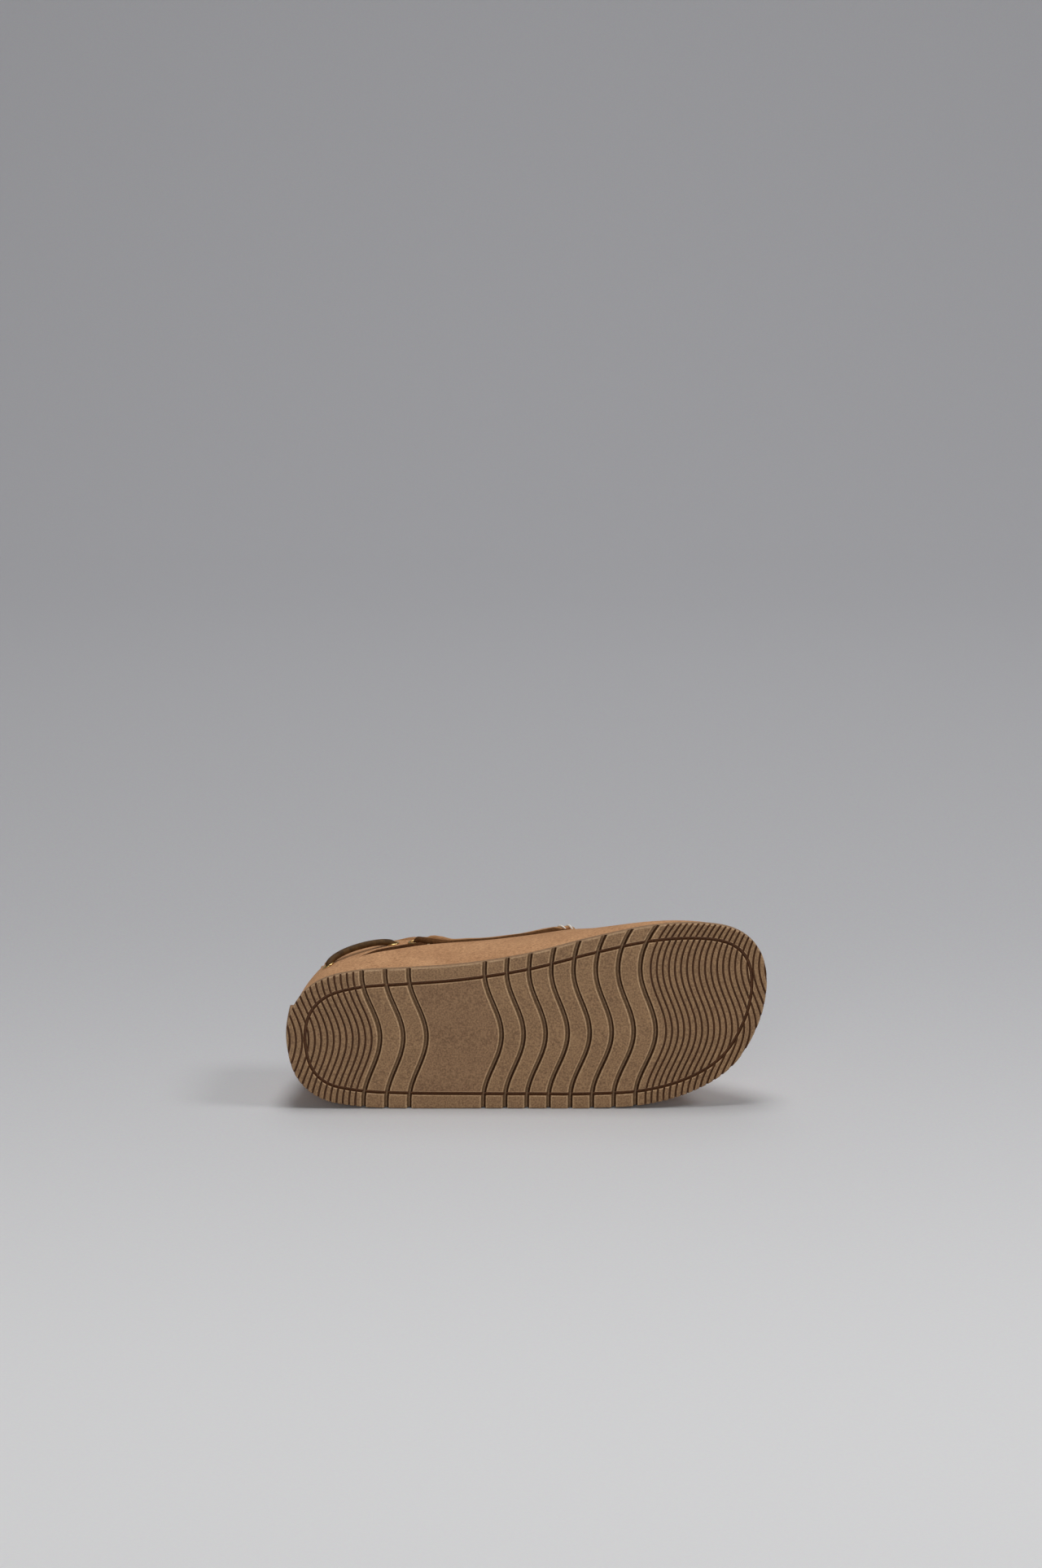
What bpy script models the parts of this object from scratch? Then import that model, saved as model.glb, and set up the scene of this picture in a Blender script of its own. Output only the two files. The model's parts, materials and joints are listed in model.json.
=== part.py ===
# A child's left loafer in suede, lying on its outer side: a hollow moccasin upper with a beaded
# apron seam and a laced cuff, on a moulded rubber sole with a wave tread.
# The shoe is shaped upright (x from heel to toe, y to the outer side, z up from the tread plane)
# and the empty that carries its pieces then lays it down.
import math
from collections import namedtuple

import bmesh
import bpy
from mathutils import Vector

MM = 0.001
GAP = 0.3 * MM  # clear space between pieces that touch
MERGE = 0.01 * MM

# Sole
SOLE_LENGTH = 220 * MM
SOLE_THICKNESS = 5 * MM
SOLE_DRAFT = 1.2 * MM  # set-back of the sole's upper edge
TOE_SPRING = 7 * MM
SPRING_START = 150 * MM
SPRING_CUTS = 8
OUTLINE_STEP = 3  # degrees of turn between points of the outline
NUDGE = 0.5  # degrees of turn to each side of a point, for its direction

# Tread
GROOVE_WIDTH = 2.0 * MM
GROOVE_DEPTH = 1.9 * MM
RING_WIDTH = 1.1 * MM
RING_DEPTH = 1.5 * MM
RING_INSET = 7 * MM
HEEL_RING_INSET = 1.5 * MM  # added at the back of the heel
CUTTER_BELOW = 3 * MM
WAVE_STEP = 4 * MM
TREAD_MEDIAL = -64 * MM
TREAD_LATERAL = 44 * MM

# Upper
WALL = 1.8 * MM
TURN_STEP = 5  # degrees of turn between columns of the upper
LASTED_BAND = 2.5 * MM
QUARTER_ROWS = 7
CUFF_STEP = 1.5 * MM
SWELL_POWER = 0.75  # below 1, the bulge sits low on the wall
MEDIAL_BULGE = 0.2  # share of the outer side's bulge
SIDE_BLEND = 2  # the higher, the shorter the change from side to side at the heel and toe
LEDGE_RISE = 0.5 * MM
THROAT = 100  # station where the collar ends and the apron starts
THROAT_LIP = 8 * MM
LIP_FADE = 20
APRON_COLUMNS = 9

# Insole
INSOLE_THICKNESS = 3 * MM
INSOLE_CLEARANCE = 0.4 * MM

# Heel tab
TAB_PROUD = 0.4 * MM  # how far its face stands out past the sole's edge
TAB_HEIGHT = 17 * MM
TAB_CORNER = 2 * MM  # drop of its top corners
TAB_SLOPE = 3 * MM  # its seat on the suede goes this much higher than its face
TAB_TURN = 10
TAB_ROWS = 4

# Beaded seam
SEAM_RADIUS = 1.0 * MM
BEAD_RISE = 0.5 * MM
BEAD_PITCH = 4.6 * MM
RINGS_PER_BEAD = 4
SEAM_SIDES = 7

# Lace and eyelets
LACE_RADIUS = 1.4 * MM
LACE_END_LIFT = 0.5 * MM  # its ends start this far off the wall
LACE_BOW = 3.4 * MM  # and it stands off this far in between
LACE_BOW_POWER = 0.125
LACE_CREST = 2.2 * MM  # upward bow of the stretch at the heel
LACE_SETTLE = 0.3  # share of the side stretch that comes down to the quarter's edge
LACE_POINTS = 16
LACE_FRONT = 96  # station where the side stretch ends
EYELET_RADIUS = 2.4 * MM
EYELET_WIRE = 0.55 * MM
EYELET_SIDES = 14
EYELET_WIRE_SIDES = 6

# Stations run from 0 at the back of the heel to 180 at the tip of the toe, evenly round a circle
# on the length of the sole, so that both ends come out round. Sizes are in millimetres.
SoleRow = namedtuple("SoleRow", "station centre half_width")
SOLE_ROWS = [
    SoleRow(0, 0.0, 0.0),
    SoleRow(15, 1.0, 17.0),
    SoleRow(30, 1.1, 27.9),
    SoleRow(45, 0.7, 32.4),
    SoleRow(60, 0.45, 33.55),
    SoleRow(75, -0.55, 34.55),
    SoleRow(90, -2.85, 36.85),
    SoleRow(105, -6.6, 40.6),
    SoleRow(120, -10.3, 42.6),
    SoleRow(135, -14.0, 39.9),
    SoleRow(150, -18.0, 32.3),
    SoleRow(165, -22.4, 18.0),
    SoleRow(180, -24.3, 0.0),
]

# Upper: height of the collar or seam, lean of each wall, set-back from the sole's edge, bulge,
# height and depth of the cuff's step, and crown of the apron.
UpperRow = namedtuple("UpperRow", "station top medial lateral feather bulge cuff step crown")
UPPER_ROWS = [
    UpperRow(0, 57.0, 6.5, 6.5, 1.4, 1.0, 32.0, 0.0, 0.0),
    UpperRow(15, 57.0, 6.5, 6.0, 2.5, 1.2, 32.0, 0.0, 0.0),
    UpperRow(30, 57.0, 4.6, 5.5, 2.4, 1.6, 31.0, 0.3, 0.0),
    UpperRow(45, 57.0, 3.2, 5.5, 1.2, 1.9, 26.5, 1.0, 0.0),
    UpperRow(60, 56.0, 0.8, 5.0, 0.8, 2.1, 17.0, 0.7, 0.0),
    UpperRow(70, 52.0, 1.2, 5.2, 0.8, 2.2, 9.2, 1.0, 0.0),
    UpperRow(80, 48.8, 2.6, 6.5, 0.8, 2.2, 4.8, 1.0, 0.0),
    UpperRow(90, 50.5, 4.6, 8.5, 0.8, 2.0, 4.6, 1.0, 0.0),
    UpperRow(100, 53.0, 8.2, 14.0, 1.0, 1.6, 4.2, 0.0, 9.5),
    UpperRow(107, 49.2, 12.2, 16.5, 1.1, 1.3, 4.2, 0.0, 10.0),
    UpperRow(120, 44.5, 16.4, 17.5, 1.7, 0.8, 4.0, 0.0, 8.5),
    UpperRow(150, 33.5, 17.0, 17.0, 2.6, 0.4, 4.0, 0.0, 4.5),
    UpperRow(180, 30.0, 16.0, 16.0, 2.6, 0.4, 4.0, 0.0, 0.0),
]

# Eyelets on each side, by station and height
Eyelet = namedtuple("Eyelet", "station height")
EYELETS = {"heel": Eyelet(32, 33.0), "quarter": Eyelet(56.5, 50.0), "side": Eyelet(61.5, 48.0)}

# Wide grooves of the tread, counted from the heel: first trough, pitch and number.
GrooveSet = namedtuple("GrooveSet", "first pitch count")
GROOVE_SETS = [GrooveSet(35.0, 10.5, 3), GrooveSet(90.05, 9.97, 8)]

# The wave of a groove at the heel and at the toe: its outer trough, the height of its crest over
# that, the crest's line, the run down to the outer trough, the fall and run down to the inner one,
# and the bend towards the toe where it goes on over the inner edge.
Wave = namedtuple("Wave", "trough height crest outer_run inner_fall inner_run bend")
HEEL_WAVE = Wave(45, 8.0, -0.2, 31.0, 8.1, 30.0, 0.0)
TOE_WAVE = Wave(165, 9.25, -3.0, 31.5, 7.3, 30.0, 0.0185)


def along(rows, column, station, odd=False):
    """One column of a table at a station, as a smooth curve through its rows."""
    values = [getattr(row, column) for row in rows]
    stops = [row.station for row in rows]
    last = len(rows) - 1

    def slope(i):
        if 0 < i < last:
            return (values[i + 1] - values[i - 1]) / (stops[i + 1] - stops[i - 1])
        inner = 1 if i == 0 else last - 1
        return (values[inner] - values[i]) / (stops[inner] - stops[i]) if odd else 0.0

    i = max(k for k in range(last) if stops[k] <= station)
    span = stops[i + 1] - stops[i]
    t = (station - stops[i]) / span
    start = values[i] * (1 + 2 * t) * (1 - t) ** 2 + slope(i) * span * t * (1 - t) ** 2
    finish = values[i + 1] * t * t * (3 - 2 * t) - slope(i + 1) * span * t * t * (1 - t)
    return (start + finish) * MM


def between(start, finish, share):
    return start + (finish - start) * share


def station_of(turn):
    turn %= 360
    return turn if turn <= 180 else 360 - turn


def is_medial(turn):
    return turn % 360 <= 180


def outline(turn):
    """Edge of the sole; the turn goes from the heel along the inner side to the toe and back."""
    station = station_of(turn)
    side = -1 if is_medial(turn) else 1
    x = SOLE_LENGTH * (1 - math.cos(math.radians(station))) / 2
    y = along(SOLE_ROWS, "centre", station) + side * along(SOLE_ROWS, "half_width", station, True)
    return Vector((x, y, 0))


def outward(turn):
    across = outline(turn + NUDGE) - outline(turn - NUDGE)
    return Vector((across.y, -across.x, 0)).normalized()


def spring(x):
    """Rise of the sole towards the toe."""
    return TOE_SPRING * (max(0.0, x - SPRING_START) / (SOLE_LENGTH - SPRING_START)) ** 2


def upper_size(column, turn):
    return along(UPPER_ROWS, column, station_of(turn))


def wall_floor(turn):
    return SOLE_THICKNESS + GAP + spring(outline(turn).x)


def wall_top(turn):
    return upper_size("top", turn)


def ledge(turn):
    """Height of the quarter's edge, where the cuff steps back."""
    return wall_top(turn) - upper_size("cuff", turn)


def bulge_share(turn):
    """Full on the outer side, less on the inner side, and blended round the heel and the toe."""
    medial = min(1.0, max(0.0, 0.5 + SIDE_BLEND * math.sin(math.radians(turn))))
    return between(1.0, MEDIAL_BULGE, medial)


def wall_point(turn, height):
    """Outer face of the upper at a height above the tread plane."""
    bottom = wall_floor(turn) + LASTED_BAND
    rise = max(0.0, (height - bottom) / (wall_top(turn) - bottom))
    lean = upper_size("medial" if is_medial(turn) else "lateral", turn)
    swell = bulge_share(turn) * math.sin(math.pi * min(1.0, rise) ** SWELL_POWER)
    recess = CUFF_STEP * upper_size("step", turn) / MM
    recess *= min(1.0, max(0.0, height - ledge(turn)) / LEDGE_RISE)
    inset = upper_size("feather", turn) + lean * rise * rise + recess
    inset -= upper_size("bulge", turn) * swell
    point = outline(turn) - outward(turn) * inset
    point.z = height
    return point


def wall_normal(turn, height):
    round_it = wall_point(turn + NUDGE, height) - wall_point(turn - NUDGE, height)
    up_it = wall_point(turn, height + GAP) - wall_point(turn, height - GAP)
    return round_it.cross(up_it).normalized()


def quarter_height(turn, share):
    bottom = wall_floor(turn) + LASTED_BAND
    return bottom + share * (ledge(turn) - bottom)


def wall_heights(turn):
    rows = [wall_floor(turn)]
    rows += [quarter_height(turn, row / QUARTER_ROWS) for row in range(QUARTER_ROWS + 1)]
    cuff = ledge(turn) + LEDGE_RISE
    return rows + [cuff, (cuff + wall_top(turn)) / 2, wall_top(turn)]


def apron_point(station, across):
    """Apron between the two sides of its seam, crowned and drawn back into a lip at the throat."""
    medial = wall_point(station, wall_top(station))
    lateral = wall_point(360 - station, wall_top(station))
    arch = math.sin(math.pi * across)
    point = medial.lerp(lateral, across)
    point.z += upper_size("crown", station) * arch
    point.x -= THROAT_LIP * arch * max(0.0, 1 - (station - THROAT) / LIP_FADE) ** 2
    return point


for old in list(bpy.data.objects):
    bpy.data.objects.remove(old)

parts = bpy.data.collections.new("beaded_loafer")
cutters = bpy.data.collections.new("cutters")
cutters.hide_render = True
bpy.context.scene.collection.children.link(parts)
bpy.context.scene.collection.children.link(cutters)

shoe = bpy.data.objects.new("shoe", None)
parts.objects.link(shoe)


def material(name, colour, roughness, metallic=0.0):
    made = bpy.data.materials.new(name)
    made.use_nodes = True
    shader = made.node_tree.nodes["Principled BSDF"]
    shader.inputs["Base Color"].default_value = (*colour, 1)
    shader.inputs["Roughness"].default_value = roughness
    shader.inputs["Metallic"].default_value = metallic
    return made


RUBBER = material("gum rubber", (0.17, 0.10, 0.055), 0.6)
TAB_RUBBER = material("heel rubber", (0.16, 0.095, 0.05), 0.6)
SUEDE = material("tan suede", (0.42, 0.23, 0.12), 0.95)
LINING = material("insole suede", (0.46, 0.30, 0.18), 0.9)
BEADS = material("white beads", (0.85, 0.82, 0.76), 0.3)
LEATHER = material("brown leather", (0.13, 0.07, 0.03), 0.55)
BRASS = material("brass", (0.80, 0.60, 0.28), 0.25, 1.0)


def place(name, shape, look=None):
    """Puts a finished bmesh into the scene, as a piece of the shoe or as a cutter."""
    if all(edge.is_manifold for edge in shape.edges):
        bmesh.ops.recalc_face_normals(shape, faces=shape.faces)
    mesh = bpy.data.meshes.new(name)
    shape.to_mesh(mesh)
    shape.free()
    made = bpy.data.objects.new(name, mesh)
    made.parent = shoe
    if look is None:
        made.hide_render = True
        made.display_type = "WIRE"
        cutters.objects.link(made)
        return made
    mesh.materials.append(look)
    parts.objects.link(made)
    return made


def thicken(made, thickness, offset):
    shell = made.modifiers.new("thickness", "SOLIDIFY")
    shell.thickness = thickness
    shell.offset = offset
    shell.use_even_offset = True
    return made


def grid_faces(shape, columns, closed=False):
    """Faces between neighbouring columns of points, facing out where the columns go round the foot."""
    following = columns[1:] + columns[:1] if closed else columns[1:]
    for near, far in zip(columns, following):
        for low in range(len(near) - 1):
            shape.faces.new((near[low], far[low], far[low + 1], near[low + 1]))


def slab(shape, inner, outer):
    """A closed solid between two grids of points."""
    near = [[shape.verts.new(point) for point in column] for column in inner]
    far = [[shape.verts.new(point) for point in column] for column in outer]
    grid_faces(shape, near)
    grid_faces(shape, far)
    for pair in ((near[0], far[0]), (near[-1], far[-1])):
        grid_faces(shape, pair)
    for row in (0, -1):
        grid_faces(shape, [[inside[row], outside[row]] for inside, outside in zip(near, far)])


def plate(name, look, inset, draft, bottom, top):
    """A layer under the foot: the outline set back, given its thickness and bent up at the toe."""
    shape = bmesh.new()
    columns = []
    for turn in range(0, 360, OUTLINE_STEP):
        low = outline(turn) - outward(turn) * inset(turn)
        high = low - outward(turn) * draft + Vector((0, 0, top - bottom))
        columns.append([shape.verts.new(low), shape.verts.new(high)])
    grid_faces(shape, columns, closed=True)
    shape.faces.new([column[0] for column in columns])
    shape.faces.new([column[1] for column in columns])
    for cut in range(SPRING_CUTS):
        x = SPRING_START + cut * (SOLE_LENGTH - SPRING_START) / SPRING_CUTS
        everything = shape.verts[:] + shape.edges[:] + shape.faces[:]
        bmesh.ops.bisect_plane(shape, geom=everything, plane_co=(x, 0, 0), plane_no=(1, 0, 0))
    for vert in shape.verts:
        vert.co.z += bottom + spring(vert.co.x)
    return place(name, shape, look)


def groove_line(trough, y):
    """A wave of the tread: a crest towards the toe, with a trough on each side of it."""
    share = (trough - HEEL_WAVE.trough) / (TOE_WAVE.trough - HEEL_WAVE.trough)
    wave = Wave(*[near + share * (far - near) for near, far in zip(HEEL_WAVE, TOE_WAVE)])
    off_crest = y / MM - wave.crest
    outer = off_crest > 0
    run = wave.outer_run if outer else wave.inner_run
    fall = wave.height if outer else wave.inner_fall
    down = min(1.0, abs(off_crest) / run)
    beyond = 0.0 if outer else max(0.0, abs(off_crest) - run)
    swell = wave.height - fall * (1 - math.cos(math.pi * down)) / 2 + wave.bend * beyond ** 2
    return Vector(((trough + swell) * MM, y, 0))


def groove_cutter(name, lines, width, depth, closed):
    """Upright strips along the grooves' lines, as thick as the grooves are wide."""
    shape = bmesh.new()
    for line in lines:
        columns = []
        for point in line:
            low = Vector((point.x, point.y, -CUTTER_BELOW))
            high = Vector((point.x, point.y, depth + spring(point.x)))
            columns.append([shape.verts.new(low), shape.verts.new(high)])
        grid_faces(shape, columns, closed)
    return thicken(place(name, shape), width, 0)


def ring_inset(turn):
    return RING_INSET + HEEL_RING_INSET * max(0.0, math.cos(math.radians(turn))) ** 2


def cut(target, cutter):
    boolean = target.modifiers.new(cutter.name, "BOOLEAN")
    boolean.operation = "DIFFERENCE"
    boolean.solver = "EXACT"
    boolean.object = cutter


# Outsole with its wide grooves and the ring groove inside its edge
outsole = plate("outsole", RUBBER, lambda turn: 0.0, SOLE_DRAFT, 0.0, SOLE_THICKNESS)
wave_stops = math.ceil((TREAD_LATERAL - TREAD_MEDIAL) / WAVE_STEP)
wave_ys = [TREAD_MEDIAL + stop * WAVE_STEP for stop in range(wave_stops + 1)]
troughs = [row.first + k * row.pitch for row in GROOVE_SETS for k in range(row.count)]
waves = [[groove_line(trough, y) for y in wave_ys] for trough in troughs]
ring_turns = range(0, 360, TURN_STEP)
ring = [[outline(turn) - outward(turn) * ring_inset(turn) for turn in ring_turns]]
cut(outsole, groove_cutter("wave_grooves", waves, GROOVE_WIDTH, GROOVE_DEPTH, False))
cut(outsole, groove_cutter("ring_groove", ring, RING_WIDTH, RING_DEPTH, True))

# Upper: wall right round the foot, and the apron that closes it over the toes
shape = bmesh.new()
turns = list(range(0, 360, TURN_STEP))
walls = {}
for turn in turns:
    walls[turn] = [shape.verts.new(wall_point(turn, z)) for z in wall_heights(turn)]
grid_faces(shape, [walls[turn] for turn in turns], closed=True)
apron_stations = list(range(THROAT, 180, TURN_STEP))
apron = []
for station in apron_stations:
    shares = [k / APRON_COLUMNS for k in range(1, APRON_COLUMNS)]
    middle = [shape.verts.new(apron_point(station, share)) for share in shares]
    apron.append([walls[station][-1]] + middle + [walls[360 - station][-1]])
grid_faces(shape, apron)
for side, other in zip(apron[-1], apron[-1][1:]):
    shape.faces.new((side, walls[180][-1], other))
thicken(place("upper", shape, SUEDE), WALL, -1)


def insole_inset(turn):
    return upper_size("feather", turn) + WALL + INSOLE_CLEARANCE


insole_bottom = SOLE_THICKNESS + GAP
insole_top = insole_bottom + INSOLE_THICKNESS
plate("insole", LINING, insole_inset, 0.0, insole_bottom, insole_top)

# Heel tab on the back of the upper, with an upright face just outside the sole's edge
inner = []
outer = []
for turn in range(-TAB_TURN, TAB_TURN + 1, TURN_STEP):
    face_top = TAB_HEIGHT - TAB_CORNER * (turn / TAB_TURN) ** 2
    face = outline(turn) + outward(turn) * TAB_PROUD
    shares = [k / TAB_ROWS for k in range(TAB_ROWS + 1)]
    seats = [between(wall_floor(turn), face_top + TAB_SLOPE, share) for share in shares]
    inner.append([wall_point(turn, z) + wall_normal(turn, z) * GAP for z in seats])
    heights = [between(wall_floor(turn), face_top, share) for share in shares]
    outer.append([face + Vector((0, 0, z)) for z in heights])
shape = bmesh.new()
slab(shape, inner, outer)
place("heel_tab", shape, TAB_RUBBER)

# Beaded seam: a roll along the apron's edge with slanting ridges
seam_turns = list(range(THROAT, 360 - THROAT + 1, TURN_STEP))
seam_reach = SEAM_RADIUS + BEAD_RISE + GAP
seam_line = []
for turn in seam_turns:
    top = wall_top(turn)
    station = station_of(turn)
    beside = apron_point(station, 1 / APRON_COLUMNS if is_medial(turn) else 1 - 1 / APRON_COLUMNS)
    edge = wall_point(turn, top)
    ahead = wall_point(turn + NUDGE, wall_top(turn + NUDGE))
    behind = wall_point(turn - NUDGE, wall_top(turn - NUDGE))
    seam_run = ahead - behind
    wall_face = seam_run.cross(edge - wall_point(turn, top - LASTED_BAND)).normalized()
    apron_face = seam_run.cross(beside - edge).normalized() if station < 180 else Vector((0, 0, 1))
    seam_line.append(edge + (wall_face + apron_face).normalized() * seam_reach)


def along_line(points, step):
    """Evenly spaced points on a broken line, each with its distance from the start."""
    lengths = [(b - a).length for a, b in zip(points, points[1:])]
    count = round(sum(lengths) / step)
    for k in range(count + 1):
        distance = sum(lengths) * k / count
        left = distance
        leg = 0
        while leg < len(lengths) - 1 and left > lengths[leg]:
            left -= lengths[leg]
            leg += 1
        yield distance, points[leg].lerp(points[leg + 1], left / lengths[leg])


shape = bmesh.new()
rings = []
stops = list(along_line(seam_line, BEAD_PITCH / RINGS_PER_BEAD))
for k, (distance, point) in enumerate(stops):
    run = stops[min(k + 1, len(stops) - 1)][1] - stops[max(k - 1, 0)][1]
    side = run.cross(Vector((0, 0, 1))).normalized()
    over = side.cross(run).normalized()
    ring_points = []
    for spoke in range(SEAM_SIDES):
        angle = math.tau * spoke / SEAM_SIDES
        ridge = max(0.0, math.cos(math.tau * distance / BEAD_PITCH - angle))
        aim = side * math.cos(angle) + over * math.sin(angle)
        ring_points.append(shape.verts.new(point + aim * (SEAM_RADIUS + BEAD_RISE * ridge)))
    rings.append(ring_points + ring_points[:1])
grid_faces(shape, rings)
shape.faces.new(rings[0][:-1])
shape.faces.new(rings[-1][:-1])
place("beaded_seam", shape, BEADS)


def off_wall(turn, height, lift):
    return wall_point(turn, height) + outward(turn) * lift


def mirrored(turn, medial):
    return turn if medial else 360 - turn


def lace(name, points):
    """A round lace through the points, closed at its ends."""
    curve = bpy.data.curves.new(name, "CURVE")
    curve.dimensions = "3D"
    curve.bevel_depth = LACE_RADIUS
    curve.bevel_resolution = 1
    curve.use_fill_caps = True
    spline = curve.splines.new("POLY")
    spline.points.add(len(points) - 1)
    for knot, point in zip(spline.points, points):
        knot.co = (*point, 1)
    guide = bpy.data.objects.new(name, curve)
    mesh = bpy.data.meshes.new_from_object(guide)
    bpy.data.objects.remove(guide)
    shape = bmesh.new()
    shape.from_mesh(mesh)
    bpy.data.meshes.remove(mesh)
    bmesh.ops.remove_doubles(shape, verts=shape.verts, dist=MERGE)
    for face in shape.faces:
        face.smooth = True
    return place(name, shape, LEATHER)


def eyelet(name, turn, height):
    """A brass ring flat on the cuff."""
    shape = bmesh.new()
    facing = wall_normal(turn, height)
    level = Vector((-facing.y, facing.x, 0)).normalized()
    upright = facing.cross(level)
    centre = wall_point(turn, height) + facing * (GAP + EYELET_WIRE)
    rings = []
    for k in range(EYELET_SIDES):
        angle = math.tau * k / EYELET_SIDES
        spoke = level * math.cos(angle) + upright * math.sin(angle)
        tube = []
        for m in range(EYELET_WIRE_SIDES):
            around = math.tau * m / EYELET_WIRE_SIDES
            lift = facing * math.sin(around) + spoke * math.cos(around)
            tube.append(shape.verts.new(centre + spoke * EYELET_RADIUS + lift * EYELET_WIRE))
        rings.append(tube + tube[:1])
    grid_faces(shape, rings, closed=True)
    for face in shape.faces:
        face.smooth = True
    return place(name, shape, BRASS)


# The lace bows out of one eyelet and into the next at the heel, then lies along the quarter's edge
heel, quarter, front = EYELETS["heel"], EYELETS["quarter"], EYELETS["side"]
for medial in (True, False):
    word = "medial" if medial else "lateral"
    for spot, row in EYELETS.items():
        eyelet(f"eyelet_{word}_{spot}", mirrored(row.station, medial), row.height * MM)

    back = []
    for k in range(LACE_POINTS + 1):
        share = (1 - math.cos(math.pi * k / LACE_POINTS)) / 2
        arch = math.sin(math.pi * share) if 0 < k < LACE_POINTS else 0.0
        turn = mirrored(between(heel.station, quarter.station, share), medial)
        height = between(heel.height, quarter.height, share) * MM + LACE_CREST * arch
        back.append(off_wall(turn, height, between(LACE_END_LIFT, LACE_BOW, arch**LACE_BOW_POWER)))
    lace(f"lace_{word}_back", back)

    side = []
    for k in range(LACE_POINTS + 1):
        share = (k / LACE_POINTS) ** 2
        settled = min(1.0, share / LACE_SETTLE)
        turn = mirrored(between(front.station, LACE_FRONT, share), medial)
        seat = ledge(turn) + LEDGE_RISE + LACE_RADIUS + GAP
        height = between(front.height * MM, seat, settled)
        lift = between(LACE_BOW, LACE_RADIUS + GAP, settled) if k else LACE_END_LIFT
        side.append(off_wall(turn, height, lift))
    lace(f"lace_{word}_side", side)

# Lay the shoe on its outer side, on the sole's edge and the widest line of the upper
lateral_turns = range(180, 360, TURN_STEP)
sole_edge = max(outline(turn).y for turn in range(180, 360, OUTLINE_STEP))
wide_points = [wall_point(turn, z) for turn in lateral_turns for z in wall_heights(turn)]
lean = max(math.atan2(point.y - sole_edge, point.z) for point in wide_points)
shoe.rotation_euler = (lean - math.pi / 2, 0, 0)

# Centre it over the origin with its lowest point at height zero
bpy.context.view_layer.update()
graph = bpy.context.evaluated_depsgraph_get()
corners = []
for piece in parts.objects:
    if piece.type == "MESH":
        settled_mesh = piece.evaluated_get(graph)
        corners += [settled_mesh.matrix_world @ vert.co for vert in settled_mesh.data.vertices]
lows = [min(corner[axis] for corner in corners) for axis in range(3)]
highs = [max(corner[axis] for corner in corners) for axis in range(3)]
shoe.location = (-(lows[0] + highs[0]) / 2, -(lows[1] + highs[1]) / 2, -lows[2])
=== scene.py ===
import json
import math
from functools import lru_cache

import bmesh
import bpy
from mathutils import Matrix, Vector


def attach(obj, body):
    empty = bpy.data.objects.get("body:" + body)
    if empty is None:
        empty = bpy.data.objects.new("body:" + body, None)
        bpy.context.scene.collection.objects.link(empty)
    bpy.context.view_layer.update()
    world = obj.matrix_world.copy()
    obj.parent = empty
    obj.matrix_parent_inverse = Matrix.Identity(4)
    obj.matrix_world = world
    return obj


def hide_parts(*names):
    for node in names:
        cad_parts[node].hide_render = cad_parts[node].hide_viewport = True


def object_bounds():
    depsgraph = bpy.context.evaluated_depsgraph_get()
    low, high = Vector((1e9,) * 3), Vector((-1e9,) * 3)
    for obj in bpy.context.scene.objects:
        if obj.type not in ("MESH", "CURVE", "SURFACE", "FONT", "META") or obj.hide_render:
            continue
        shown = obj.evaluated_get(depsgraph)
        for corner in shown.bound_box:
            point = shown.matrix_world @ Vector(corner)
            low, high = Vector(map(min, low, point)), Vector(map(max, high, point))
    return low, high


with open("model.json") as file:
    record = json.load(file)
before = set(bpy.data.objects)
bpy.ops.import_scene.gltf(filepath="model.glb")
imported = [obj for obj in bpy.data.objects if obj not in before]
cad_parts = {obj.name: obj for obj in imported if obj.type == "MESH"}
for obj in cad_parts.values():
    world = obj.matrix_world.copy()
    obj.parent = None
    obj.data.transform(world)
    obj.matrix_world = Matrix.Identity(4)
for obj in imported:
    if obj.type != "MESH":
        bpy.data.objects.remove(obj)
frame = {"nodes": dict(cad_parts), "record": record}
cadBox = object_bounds()
print("frame loaded with", len(frame["nodes"]), "nodes")

mm = 0.001
bpy.context.scene.view_settings.view_transform = "Standard"
shoeCollection = bpy.data.collections.new("beaded_loafer")
stageCollection = bpy.data.collections.new("stage")
bpy.context.scene.collection.children.link(shoeCollection)
bpy.context.scene.collection.children.link(stageCollection)

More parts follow.
